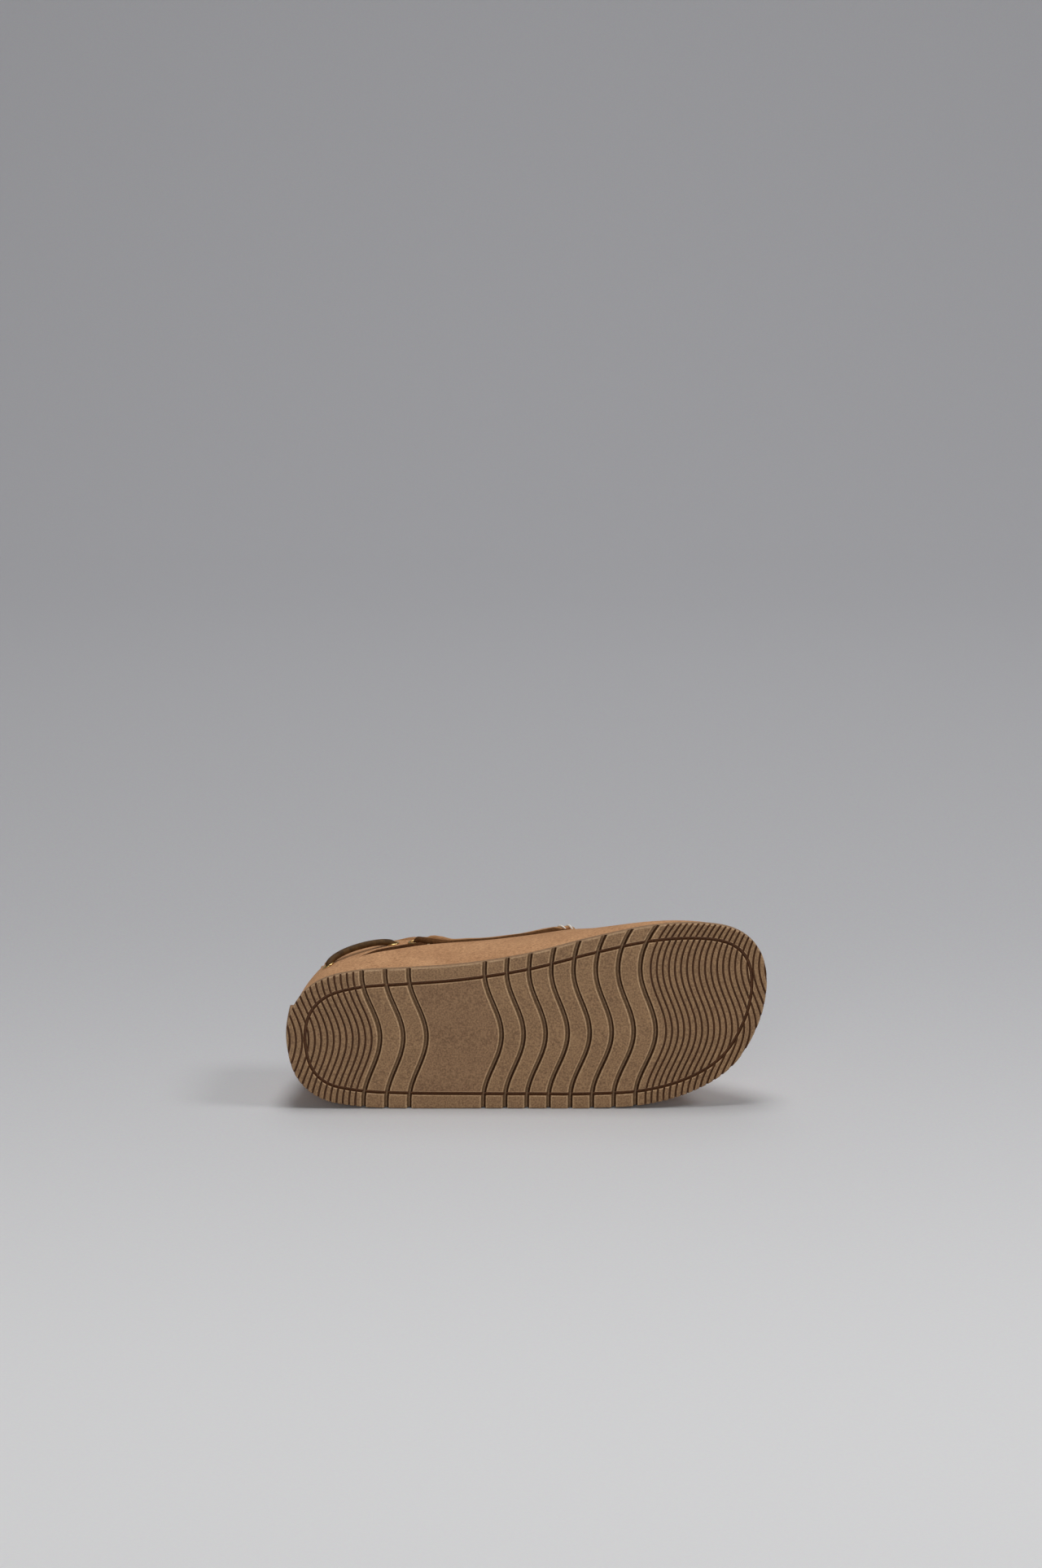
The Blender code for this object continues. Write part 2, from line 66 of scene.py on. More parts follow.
# The last, from station 0 at the back of the heel to 180 at the tip of the toe, with its lines in mm.
# The shoe is shaped upright: x from heel to toe, y to the outer side, z up from the tread.
last = {
    "length": 220 * mm,
    "toeSpring": 7 * mm,
    "springStart": 150 * mm,
    "soleThickness": 5 * mm,
    "gap": 0.3 * mm,
    "throat": 100,  # station where the collar ends and the apron starts
    "nudge": 0.5,  # turn to each side of a place, for the direction there
}
lines = {
    "sole": {
        "station": [0, 15, 30, 45, 60, 75, 90, 105, 120, 135, 150, 165, 180],
        "centre": [0, 1.0, 1.1, 0.7, 0.45, -0.55, -2.85, -6.6, -10.3, -14.0, -18.0, -22.4, -24.3],
        "halfWidth": [0, 17.0, 27.9, 32.4, 33.55, 34.55, 36.85, 40.6, 42.6, 39.9, 32.3, 18.0, 0],
    },
    "upper": {
        "station": [0, 15, 30, 45, 60, 70, 80, 90, 100, 107, 120, 150, 180],
        "top": [57, 57, 57, 57, 56, 52, 48.8, 50.5, 53, 49.2, 44.5, 33.5, 30],
        "medial": [6.5, 6.5, 4.6, 3.2, 0.8, 1.2, 2.6, 4.6, 8.2, 12.2, 16.4, 17.0, 16.0],
        "lateral": [6.5, 6.0, 5.5, 5.5, 5.0, 5.2, 6.5, 8.5, 14.0, 16.5, 17.5, 17.0, 16.0],
        "feather": [1.4, 2.5, 2.4, 1.2, 0.8, 0.8, 0.8, 0.8, 1.0, 1.1, 1.7, 2.6, 2.6],
        "bulge": [1.0, 1.2, 1.6, 1.9, 2.1, 2.2, 2.2, 2.0, 1.6, 1.3, 0.8, 0.4, 0.4],
        "cuff": [32, 32, 31, 27, 18.6, 9.6, 4.4, 3.8, 3.6, 4.0, 4.0, 4.0, 4.0],
        "step": [0, 0, 0.3, 1.0, 0.7, 1.0, 1.0, 1.0, 0, 0, 0, 0, 0],
        "crown": [0, 0, 0, 0, 0, 0, 0, 0, 9.5, 10.0, 8.5, 4.5, 0],
    },
}


@lru_cache(maxsize=None)
def readLine(lineSet, column, station):
    # a smooth curve through one column of the last
    stops = lines[lineSet]["station"]
    values = lines[lineSet][column]
    end = len(stops) - 1

    def slope(k):
        if 0 < k < end:
            return (values[k + 1] - values[k - 1]) / (stops[k + 1] - stops[k - 1])
        if column != "halfWidth":
            return 0.0
        inner = 1 if k == 0 else end - 1
        return (values[inner] - values[k]) / (stops[inner] - stops[k])

    k = max(i for i in range(end) if stops[i] <= station)
    span = stops[k + 1] - stops[k]
    t = (station - stops[k]) / span
    start = values[k] * (1 + 2 * t) * (1 - t) ** 2 + slope(k) * span * t * (1 - t) ** 2
    finish = values[k + 1] * t * t * (3 - 2 * t) - slope(k + 1) * span * t * t * (1 - t)
    return (start + finish) * mm


def between(start, finish, share):
    return start + (finish - start) * share


def ease(share):
    share = min(1.0, max(0.0, share))
    return share * share * (3 - 2 * share)


def alongStations(stops, station):
    # eases from stop to stop in a list of stations and values
    for (start, value), (finish, nextValue) in zip(stops, stops[1:]):
        if station <= finish:
            return between(value, nextValue, ease((station - start) / (finish - start)))
    return stops[-1][1]


def stationOf(turn):
    turn %= 360
    return min(turn, 360 - turn)


def isMedial(turn):
    return turn % 360 <= 180


def onUpper(column, turn):
    return readLine("upper", column, stationOf(turn))


@lru_cache(maxsize=None)
def soleEdge(turn):
    # the turn runs from the heel along the inner side to the toe, and back along the outer side
    station = stationOf(turn)
    side = -1 if isMedial(turn) else 1
    x = last["length"] * (1 - math.cos(math.radians(station))) / 2
    y = readLine("sole", "centre", station) + side * readLine("sole", "halfWidth", station)
    return Vector((x, y, 0))


@lru_cache(maxsize=None)
def outward(turn):
    run = soleEdge(turn + last["nudge"]) - soleEdge(turn - last["nudge"])
    return Vector((run.y, -run.x, 0)).normalized()


def spring(x):
    rise = max(0.0, x - last["springStart"]) / (last["length"] - last["springStart"])
    return last["toeSpring"] * rise * rise


# The heel's mount gives the tread plane, and so how the shoe lies
heelMount = next(m for m in frame["record"]["mounts"] if m["name"] == "tread_heel")
heelSpot = Vector((25 * mm, 0, 0))  # the mount's place on the upright shoe
lean = math.atan2(-heelMount["axis"][2], -heelMount["axis"][1])
tipOver = Matrix.Rotation(lean - math.pi / 2, 4, "X")
layDown = Matrix.Translation(Vector(heelMount["pos_m"]) - tipOver @ heelSpot) @ tipOver


def linear(hexColour):
    # an sRGB hex colour as linear values
    parts = [int(hexColour[k:k + 2], 16) / 255 for k in (1, 3, 5)]
    return tuple(p / 12.92 if p <= 0.04045 else ((p + 0.055) / 1.055) ** 2.4 for p in parts) + (1.0,)


def addNode(look, kind, values=None, links=None, **settings):
    # one node, with its own settings, the values on its sockets and what is linked to them
    node = look.node_tree.nodes.new("ShaderNode" + kind)
    for name, value in settings.items():
        setattr(node, name, value)
    for socket, value in (values or {}).items():
        node.inputs[socket].default_value = value
    for socket, source in (links or {}).items():
        look.node_tree.links.new(source, node.inputs[socket])
    return node


def newLook(name):
    look = bpy.data.materials.new(name)
    look.use_nodes = True
    look.node_tree.nodes.clear()
    spot = addNode(look, "TexCoord").outputs["Object"]
    return look, spot


def finishLook(look, colour, values, bump=None):
    links = {"Base Color": colour}
    if bump:
        links["Normal"] = bump
    shader = addNode(look, "BsdfPrincipled", values, links)
    addNode(look, "OutputMaterial", links={"Surface": shader.outputs["BSDF"]})
    return look


def makeSuede(name, dark, mid, light):
    # split calf with its nap brushed along the shoe: no gloss, light and dark dabs as the nap lies
    look, spot = newLook(name)
    brushed = addNode(look, "VectorMath", {1: (0.55, 1, 1)}, {0: spot}, operation="MULTIPLY").outputs[0]
    grain = {"Scale": 1 / (0.7 * mm), "Detail": 5, "Roughness": 0.76}
    nap = addNode(look, "TexNoise", grain, {"Vector": brushed}).outputs["Fac"]
    cloud = {"Scale": 1 / (16 * mm), "Detail": 3, "Roughness": 0.55}
    patch = addNode(look, "TexNoise", cloud, {"Vector": spot}).outputs["Fac"]
    napShare = addNode(look, "MapRange", {"From Min": 0.36, "From Max": 0.64}, {"Value": nap}).outputs[0]
    patchShare = addNode(look, "MapRange", {"From Min": -0.1, "From Max": 1.1}, {"Value": patch}).outputs[0]
    deep, middle, pale = linear(dark), linear(mid), linear(light)
    darker = addNode(look, "Mix", {6: deep, 7: middle}, {0: napShare}, data_type="RGBA").outputs[2]
    paler = addNode(look, "Mix", {6: middle, 7: pale}, {0: napShare}, data_type="RGBA").outputs[2]
    colour = addNode(look, "Mix", None, {0: patchShare, 6: darker, 7: paler}, data_type="RGBA")
    hair = {"Scale": 1 / (1.2 * mm), "Detail": 5, "Roughness": 0.8}
    fibre = addNode(look, "TexNoise", hair, {"Vector": spot})
    bump = addNode(look, "Bump", {"Strength": 0.6, "Distance": 0.5 * mm}, {"Height": fibre.outputs["Fac"]})
    values = {
        "Roughness": 0.95, "Specular IOR Level": 0.1,
        "Sheen Weight": 0.3, "Sheen Roughness": 0.6, "Sheen Tint": pale,
    }
    return finishLook(look, colour.outputs[2], values, bump.outputs["Normal"])


def makeRubber(name, dark, light, grit):
    # moulded gum rubber: matt, with the fine grit of the mould and a faint cloudy tone
    look, spot = newLook(name)
    patches = {"Scale": 1 / (14 * mm), "Detail": 4, "Roughness": 0.6}
    cloud = addNode(look, "TexNoise", patches, {"Vector": spot}).outputs["Fac"]
    specks = {"Scale": 1 / (0.8 * mm), "Detail": 3, "Roughness": 0.6}
    speck = addNode(look, "TexNoise", specks, {"Vector": spot}).outputs["Fac"]
    both = addNode(look, "Math", {1: 0.2}, {0: cloud, 2: speck}, operation="MULTIPLY_ADD").outputs[0]
    share = addNode(look, "MapRange", {"From Min": 0.44, "From Max": 0.76}, {"Value": both}).outputs[0]
    tones = {6: linear(dark), 7: linear(light)}
    colour = addNode(look, "Mix", tones, {0: share}, data_type="RGBA")
    bump = addNode(look, "Bump", {"Strength": grit, "Distance": 0.12 * mm}, {"Height": speck})
    values = {"Roughness": 0.62, "Specular IOR Level": 0.32, "IOR": 1.52}
    return finishLook(look, colour.outputs[2], values, bump.outputs["Normal"])


def makeLeather(name, dark, light, grain, roughness):
    # smooth dyed leather: small pebbled grain under a thin wax finish
    look, spot = newLook(name)
    pebble = addNode(look, "TexVoronoi", {"Scale": 1 / grain}, {"Vector": spot}).outputs["Distance"]
    dye = {"Scale": 1 / (2.5 * mm), "Detail": 5, "Roughness": 0.65}
    tone = addNode(look, "TexNoise", dye, {"Vector": spot}).outputs["Fac"]
    share = addNode(look, "MapRange", {"From Min": 0.3, "From Max": 0.7}, {"Value": tone}).outputs[0]
    tones = {6: linear(dark), 7: linear(light)}
    colour = addNode(look, "Mix", tones, {0: share}, data_type="RGBA")
    bump = addNode(look, "Bump", {"Strength": 0.3, "Distance": 0.1 * mm}, {"Height": pebble})
    values = {"Roughness": roughness, "Specular IOR Level": 0.2}
    return finishLook(look, colour.outputs[2], values, bump.outputs["Normal"])


def makeBrass(name, dark, light):
    # stamped and lacquered brass, its tone slightly uneven
    look, spot = newLook(name)
    tarnish = addNode(look, "TexNoise", {"Scale": 1 / (1.5 * mm), "Detail": 3}, {"Vector": spot})
    tones = {6: linear(dark), 7: linear(light)}
    colour = addNode(look, "Mix", tones, {0: tarnish.outputs["Fac"]}, data_type="RGBA")
    return finishLook(look, colour.outputs[2], {"Metallic": 1.0, "Roughness": 0.28})


def makeBead(name, dark, light):
    # opaque white glass, glossy, each bead a little warmer or cooler
    look, spot = newLook(name)
    tint = addNode(look, "TexNoise", {"Scale": 1 / (5 * mm), "Detail": 1}, {"Vector": spot})
    tones = {6: linear(dark), 7: linear(light)}
    colour = addNode(look, "Mix", tones, {0: tint.outputs["Fac"]}, data_type="RGBA")
    return finishLook(look, colour.outputs[2], {"Roughness": 0.18, "IOR": 1.52, "Coat Weight": 0.4})


def makeThread(name, dark, light):
    # spun polyester thread: fine ply lines, drawn coarser than the real ones so that they show
    look, spot = newLook(name)
    ply = addNode(look, "TexNoise", {"Scale": 1 / (0.4 * mm), "Detail": 3}, {"Vector": spot}).outputs["Fac"]
    tones = {6: linear(dark), 7: linear(light)}
    colour = addNode(look, "Mix", tones, {0: ply}, data_type="RGBA")
    bump = addNode(look, "Bump", {"Strength": 0.4, "Distance": 0.1 * mm}, {"Height": ply})
    return finishLook(look, colour.outputs[2], {"Roughness": 0.7}, bump.outputs["Normal"])


suede = makeSuede("tan suede", "#6c432b", "#c0895f", "#fccb9b")
rollSuede = makeSuede("rolled suede edge", "#8a6240", "#b08159", "#c99b70")
gumRubber = makeRubber("gum rubber", "#7b5c40", "#aa8660", 0.3)
waistRubber = makeRubber("gum rubber of the waist panel", "#77583d", "#a37f5c", 0.45)
# painted highlight: paler rubber on the rounded rim and on the edges of the fine grooves
paintedHighlightRubber = makeRubber("gum rubber on the rubbed rim", "#987858", "#ba9975", 0.2)
# painted highlight: paler still, on the flared edges of the wide and ring grooves
edgeHighlightRubber = makeRubber("gum rubber on the edges of the blocks", "#b08c67", "#d4b28b", 0.2)
# painted shade: dark rubber inside the fine and ring grooves
grooveShadeRubber = makeRubber("gum rubber with painted shade down in the grooves", "#4f3019", "#6e4526", 0.2)
# painted shade: greyer rubber on the floors and heel-side walls of the wide grooves
floorShadeRubber = makeRubber("gum rubber with painted shade in the wide grooves", "#74583f", "#947555", 0.2)
# painted shadow: near-black rubber on the toe-side walls of the wide grooves
toeWallShadowRubber = makeRubber("gum rubber with painted shadow on the toe-side walls", "#2e1a08", "#472a10", 0.2)
lining = makeSuede("brushed pigskin lining", "#8d6b4d", "#a98666", "#b89775")
sockLeather = makeLeather("sock leather", "#9a7858", "#b08e6c", 0.9 * mm, 0.6)
laceLeather = makeLeather("waxed leather lace", "#3f2b14", "#624625", 0.8 * mm, 0.65)
stripLeather = makeSuede("dark suede lace", "#2b1a0d", "#54361f", "#7d5634")
# painted shadow: near-black suede for the cord laid in the step under the cuff
shadowLineSuede = makeSuede("dark suede for a painted shadow line", "#24150a", "#432916", "#6a4529")
brass = makeBrass("lacquered brass", "#c9a35c", "#efd396")
beadGlass = makeBead("white bead glass", "#ddd6c8", "#f4f1ea")
tanThread = makeThread("tan polyester thread", "#a8835f", "#cfae88")
print("looks ready")


def addPiece(name, bm, looks, nodes=(), sharpAngle=None):
    # lays a finished bmesh down with the shoe and hangs it on the frame
    bmesh.ops.transform(bm, matrix=layDown, verts=bm.verts)
    mesh = bpy.data.meshes.new(name)
    bm.to_mesh(mesh)
    bm.free()
    mesh.shade_smooth()
    if sharpAngle:
        mesh.set_sharp_from_angle(angle=math.radians(sharpAngle))
    for look in looks:
        mesh.materials.append(look)
    piece = bpy.data.objects.new(name, mesh)
    shoeCollection.objects.link(piece)
    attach(piece, "root")
    if nodes:
        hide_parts(*nodes)
    print("piece", name, len(mesh.polygons), "faces")
    return piece


def faceOut(bm):
    # turns the faces of one closed shape outwards
    bmesh.ops.recalc_face_normals(bm, faces=bm.faces)
    if bm.calc_volume(signed=True) < 0:
        bmesh.ops.reverse_faces(bm, faces=bm.faces)


def pour(bm, target):
    # adds one bmesh to another and frees it
    scratch = bpy.data.meshes.new("scratch")
    bm.to_mesh(scratch)
    bm.free()
    target.from_mesh(scratch)
    bpy.data.meshes.remove(scratch)


def sweep(target, profile, stops, closed=False):
    # a prism with the profile's corners, cut along its length and laid on the stops (spot, across, up)
    bm = bmesh.new()
    corners = len(profile)
    bmesh.ops.create_cone(bm, cap_ends=not closed, segments=corners, radius1=1, radius2=1, depth=2)
    longEdges = [e for e in bm.edges if abs(e.verts[0].co.z - e.verts[1].co.z) > 1]
    if len(stops) > 2:
        bmesh.ops.subdivide_edges(bm, edges=longEdges, cuts=len(stops) - 2, use_grid_fill=True)
    for v in bm.verts:
        k = round((v.co.z + 1) / 2 * (len(stops) - 1))
        corner = round(math.atan2(-v.co.x, v.co.y) / math.tau * corners) % corners
        spot, across, up = stops[k]
        v.co = spot + across * profile[corner][0] + up * profile[corner][1]
    if closed:
        bmesh.ops.remove_doubles(bm, verts=bm.verts, dist=0.001 * mm)
    faceOut(bm)
    pour(bm, target)


def roundProfile(radius, corners, flatten=1.0):
    angles = [math.tau * k / corners for k in range(corners)]
    return [(radius * math.cos(a), radius * flatten * math.sin(a)) for a in angles]


def framed(spots, ups, closed=False):
    # gives each spot of a line its two cross directions, from the side that faces up
    count = len(spots)
    stops = []
    for k, (spot, up) in enumerate(zip(spots, ups)):
        ahead = spots[k + 1] if k < count - 1 else spots[1 if closed else k]
        behind = spots[k - 1] if k else spots[-2 if closed else 0]
        across = (ahead - behind).cross(up).normalized()
        stops.append((spot, across, across.cross(ahead - behind).normalized()))
    return stops


# Sole
sole = {
    "draft": 0.6 * mm,
    "edgeRound": 0.65 * mm,
    "edgePoints": 240,
    "highlightReach": 10 * mm,  # the rim's rounded faces get a painted highlight up to this line, and the plain, darker rubber along the outer side
    "bendCut": 2 * mm,  # width of the strips that bend up to the toe
    # width under the flared edge, which carries a painted highlight, depth, size of that edge and share of
    # the width that the floor has
    "wideGroove": {"width": 2.2 * mm, "depth": 2.0 * mm, "flare": 0.6 * mm, "floor": 0.25},
    "fineGroove": {"width": 0.95 * mm, "depth": 1.2 * mm, "flare": 0.15 * mm, "floor": 0.5},
    "ringGroove": {"width": 1.5 * mm, "depth": 1.7 * mm, "flare": 0.4 * mm, "floor": 0.5},
    "wideSets": [(35.0, 10.5, 3), (90.05, 9.97, 8)],  # first outer trough, pitch and count, in mm
    "fineSets": [(31.25, -2.86, 14), (164.5, 2.76, 21)],
    # a groove's wave in mm: its outer trough, the height and the line of its crest, the run down to
    # that trough, the fall and run to the inner one and the bend over the inner edge
    "heelWave": {
        "trough": 45, "height": 8.0, "crest": -0.2,
        "outerRun": 31, "innerFall": 8.1, "innerRun": 30, "bend": 0,
    },
    "toeWave": {
        "trough": 165, "height": 9.25, "crest": -3,
        "outerRun": 31.5, "innerFall": 7.3, "innerRun": 30, "bend": 0.0185,
    },
    "waveReach": (-66 * mm, 46 * mm),
    "waveStep": 1.6 * mm,
    "ringInset": 7 * mm,
    "heelRingInset": 1.5 * mm,  # added at the back of the heel
    "ringPoints": 180,
    "onTread": 0.1 * mm,  # what lies lower than this is on the tread's plane
    "waist": (66 * mm, 88 * mm),  # the plain panel, from groove to groove
    "waistArea": 400 * mm * mm,  # and no face of the tread but that one is this large
}
soleLooks = {
    "plain": gumRubber, "waist": waistRubber, "paintedHighlight": paintedHighlightRubber, "edge": edgeHighlightRubber,
    "groove": grooveShadeRubber, "floorShade": floorShadeRubber, "toeWallShadow": toeWallShadowRubber,
}


def waveSpot(trough, y):
    heel, toe = sole["heelWave"], sole["toeWave"]
    share = min(1.0, (trough - heel["trough"]) / (toe["trough"] - heel["trough"]))
    wave = {part: between(heel[part], toe[part], share) for part in heel}
    offCrest = y / mm - wave["crest"]
    outer = offCrest > 0
    run = wave["outerRun"] if outer else wave["innerRun"]
    fall = wave["height"] if outer else wave["innerFall"]
    down = min(1.0, abs(offCrest) / run)
    beyond = 0.0 if outer else max(0.0, abs(offCrest) - run)
    swell = wave["height"] - fall * (1 - math.cos(math.pi * down)) / 2 + wave["bend"] * beyond ** 2
    return Vector(((trough + swell) * mm, y, 0))


def grooveProfile(width, depth, flare, floor):
    half = width / 2
    below = 0.5 * mm  # the cutter goes on flaring this far under the tread
    side = [(half * floor, depth), (half, flare), (half + flare + below, -below)]
    return [(-across, up) for across, up in reversed(side)] + side


def soleObject(name, bm):
    mesh = bpy.data.meshes.new(name)
    bm.to_mesh(mesh)
    bm.free()
    for look in soleLooks.values():
        mesh.materials.append(look)
    made = bpy.data.objects.new(name, mesh)
    stageCollection.objects.link(made)
    return made


def grooveCutter(name, looks, linesOfSpots, closed=False):
    # the looks are those of the edge, of the wall on the toe's side and of the rest: a painted highlight for
    # the edge, and painted shadow and shade for the inside of the groove
    bm = bmesh.new()
    profile = grooveProfile(**sole[name])
    for spots in linesOfSpots:
        sweep(bm, profile, framed(spots, [Vector((0, 0, 1))] * len(spots), closed), closed)
    faceOut(bm)
    order = list(soleLooks)
    edge, toeWall, floor = (order.index(look) for look in looks)
    for face in bm.faces:
        # in the wide grooves the wall on the toe's side gets a painted shadow and the rest painted shade
        face.material_index = toeWall if face.normal.x > 0.2 else floor
        # the faces that end up as the groove's flared edge take the look with the painted highlight
        if any(v.co.z < 0 for v in face.verts):
            face.material_index = edge
    return soleObject(name, bm)


def waveLines(sets):
    low, high = sole["waveReach"]
    count = round((high - low) / sole["waveStep"])
    ys = [between(low, high, k / count) for k in range(count + 1)]
    troughs = [first + k * pitch for first, pitch, number in sets for k in range(number)]
    return [[waveSpot(trough, y) for y in ys] for trough in troughs]


def ringLine():
    spots = []
    for k in range(sole["ringPoints"]):
        turn = 360 * k / sole["ringPoints"]
        inset = sole["ringInset"] + sole["heelRingInset"] * max(0.0, math.cos(math.radians(turn))) ** 2
        spots.append(soleEdge(turn) - outward(turn) * inset)
    return spots + [spots[0].copy()]


def cutForSpring(bm, step):
    # cross cuts over the toe, so that it can bend up
    x = last["springStart"]
    while x < last["length"]:
        everything = bm.verts[:] + bm.edges[:] + bm.faces[:]
        bmesh.ops.bisect_plane(bm, geom=everything, plane_co=(x, 0, 0), plane_no=(1, 0, 0))
        x += step


def buildSole():
    bm = bmesh.new()
    count = sole["edgePoints"]
    bmesh.ops.create_circle(bm, cap_ends=True, segments=count, radius=1)
    turns = {}
    for k, v in enumerate(bm.verts[:]):
        turn = 360 * k / count
        v.co = soleEdge(turn)
        turns[v.co.to_tuple(7)] = turn
    made = bmesh.ops.extrude_face_region(bm, geom=bm.faces[:])
    for v in [g for g in made["geom"] if isinstance(g, bmesh.types.BMVert)]:
        turn = turns[v.co.to_tuple(7)]
        v.co = soleEdge(turn) - outward(turn) * sole["draft"] + Vector((0, 0, last["soleThickness"]))
    faceOut(bm)
    rim = [e for e in bm.edges if all(v.co.z < sole["onTread"] for v in e.verts)]
    rounded = bmesh.ops.bevel(
        bm, geom=rim, offset=sole["edgeRound"], segments=4, profile=0.5, affect="EDGES", material=-1,
    )
    order = list(soleLooks)
    # painted highlight on the rounded rim, except along the outer side
    for face in rounded["faces"]:
        paintedHighlight = face.calc_center_median().y < sole["highlightReach"]
        face.material_index = order.index("paintedHighlight" if paintedHighlight else "plain")
    blank = soleObject("soleBlank", bm)
    cutters = [
        # wide grooves: a painted highlight on the edges, a painted shadow on the toe-side walls, painted
        # shade on the rest
        grooveCutter("wideGroove", ("edge", "toeWallShadow", "floorShade"), waveLines(sole["wideSets"])),
        # fine and ring grooves: a painted highlight on their edges and painted shade inside
        grooveCutter("fineGroove", ("paintedHighlight", "groove", "groove"), waveLines(sole["fineSets"])),
        grooveCutter("ringGroove", ("edge", "groove", "groove"), [ringLine()], True),
    ]
    for cutter in cutters:
        cut = blank.modifiers.new(cutter.name, "BOOLEAN")
        cut.operation = "DIFFERENCE"
        cut.solver = "EXACT"
        cut.object = cutter
    bpy.context.view_layer.update()
    graph = bpy.context.evaluated_depsgraph_get()
    cutMesh = bpy.data.meshes.new_from_object(blank.evaluated_get(graph))
    for used in cutters + [blank]:
        bpy.data.objects.remove(used)
    bm = bmesh.new()
    bm.from_mesh(cutMesh)
    bpy.data.meshes.remove(cutMesh)
    cutForSpring(bm, sole["bendCut"])
    start, finish = sole["waist"]
    for face in bm.faces:
        middle = face.calc_center_median()
        onTread = face.normal.z < -0.9 and abs(middle.z) < sole["onTread"]
        if onTread and start < middle.x < finish and face.calc_area() > sole["waistArea"]:
            face.material_index = order.index("waist")
    for v in bm.verts:
        v.co.z += spring(v.co.x)
    return addPiece("moulded_sole", bm, soleLooks.values(), ["outsole"], sharpAngle=30)


buildSole()

# Upper: quarters, cuff, moccasin wall and apron, sewn into one shell
upper = {
    "wall": 1.8 * mm,
    "lastedBand": 2.5 * mm,
    "cuffStep": 1.5 * mm,
    "edgeRoll": 0.8 * mm,  # rounding of the quarter's cut edge
    "edgeGroove": 0.35 * mm,  # shadow line where the cuff goes in under it
    "edgeDrop": 0.2,  # mm over which the cuff steps back
    "edgeFade": 0.7,  # and over which the shadow line runs out
    "swellPower": 0.75,
    "medialBulge": 0.2,
    "sideBlend": 2,
    "throatLip": 8 * mm,
    "lipFade": 20,
    "turns": 450,  # the throat and the toe both fall on one of them
    "quarterRows": 16,
    "ledgeRows": [-1.4, -1.0, -0.7, -0.45, -0.25, -0.1, 0, 0.05, 0.2, 0.5, 1.0, 1.8],  # mm from the edge
    "cuffRows": 8,
    "apronColumns": 40,
    "pucker": 0.3 * mm,  # gathers of the moccasin wall under the beaded seam
    "puckerReach": 9 * mm,
    "puckerStart": 12,  # stations from the throat until the gathers are full
    # soft creases over the ball of the foot: station, depth and half width in mm
    "flexCreases": [(108, 0.35, 2.6), (114, 0.45, 3.0), (121, 0.3, 3.2)],
    "creaseSlant": 6,  # mm that a crease runs forward on its way across
    # dents in the quarter: turn, height, depth and half width in mm
    "dents": [(44, 24, 0.5, 9), (72, 26, 0.6, 12), (88, 33, 0.4, 9), (300, 25, 0.6, 12), (274, 34, 0.4, 9)],
    # the lining goes back behind the cuff over this span round the quarter's edge, in mm
    "liningSpan": (-5, 3),
    "liningDrop": (5, 6 * mm),  # stations before the throat, and height, where it starts down under the apron
}
beading = {
    "start": 97,  # station where the beads start
    "wallReach": 2.5 * mm,  # the wall and the apron this far from the seam give the way out of it
    "apronReach": 0.1,  # as a share of the apron's width
    "pitch": 3.75 * mm,
    "rollRadius": 1.1 * mm,
    "rollCorners": 12,
    "rollStep": 1.2 * mm,
    # station and lift of the roll's middle in mm: it stands up at the throat, dips and levels out
    "lifts": [(97, 1.2), (99.3, 1.2), (101, -1.4), (104.5, -1.3), (110, 0.5), (180, 0.5)],
    "beadRadius": 0.55 * mm,
    "beadCorners": 10,
    "beadWrap": (0, 140),  # degrees from the roll's crest down its outer side
    "beadLead": 3.6 * mm,  # how far a bead goes along the seam on its way down
    "beadBack": 0.9 * mm,  # and how far back it starts
    "beadSeat": 0.4,  # share of its radius that stands clear of the roll's face
    "beadSteps": 8,
    "beadThin": 0.5,  # share of its girth at both ends
}


def wallFloor(turn):
    return last["soleThickness"] + last["gap"] + spring(soleEdge(turn).x)


def wallTop(turn):
    return onUpper("top", turn)


def ledge(turn):
    # height of the quarter's edge, where the cuff steps back
    return wallTop(turn) - onUpper("cuff", turn)


def edgeRecess(turn, height):
    share = onUpper("step", turn) / mm
    over = (height - ledge(turn)) / mm
    roll = upper["edgeRoll"] / mm
    if over < -roll:
        return 0.0
    if over <= 0:
        return share * upper["edgeRoll"] * (1 - math.sqrt(max(0.0, 1 - ((over + roll) / roll) ** 2)))
    stepped = ease(over / upper["edgeDrop"])
    depth = between(upper["edgeRoll"], upper["cuffStep"], stepped)
    return share * (depth + upper["edgeGroove"] * math.exp(-over / upper["edgeFade"]) * stepped)


def seamDistance(turn):
    # length along the apron's edge from where the beads start
    return seamLength[min(len(seamLength) - 1, max(0, round(turn) - beading["start"]))]


def wallRelief(turn, height):
    # gathers under the beaded seam and soft dents, measured outwards
    station = stationOf(turn)
    relief = 0.0
    below = wallTop(turn) - height
    if station > last["throat"] and below < upper["puckerReach"]:
        start = ease((station - last["throat"]) / upper["puckerStart"])
        fade = start * math.sin(math.pi * below / upper["puckerReach"])
        gather = (1 + math.cos(math.tau * seamDistance(turn) / beading["pitch"])) / 2
        relief -= upper["pucker"] * fade * gather
    for dentTurn, dentHeight, depth, reach in upper["dents"]:
        away = (soleEdge(turn) - soleEdge(dentTurn)).length / mm
        rise = height / mm - dentHeight
        if away < 3 * reach:
            relief -= depth * mm * math.exp(-(away * away + rise * rise) / (reach * reach))
    return relief


def bulgeShare(turn):
    # full on the outer side, less on the inner side
    medial = min(1.0, max(0.0, 0.5 + upper["sideBlend"] * math.sin(math.radians(turn))))
    return between(1.0, upper["medialBulge"], medial)


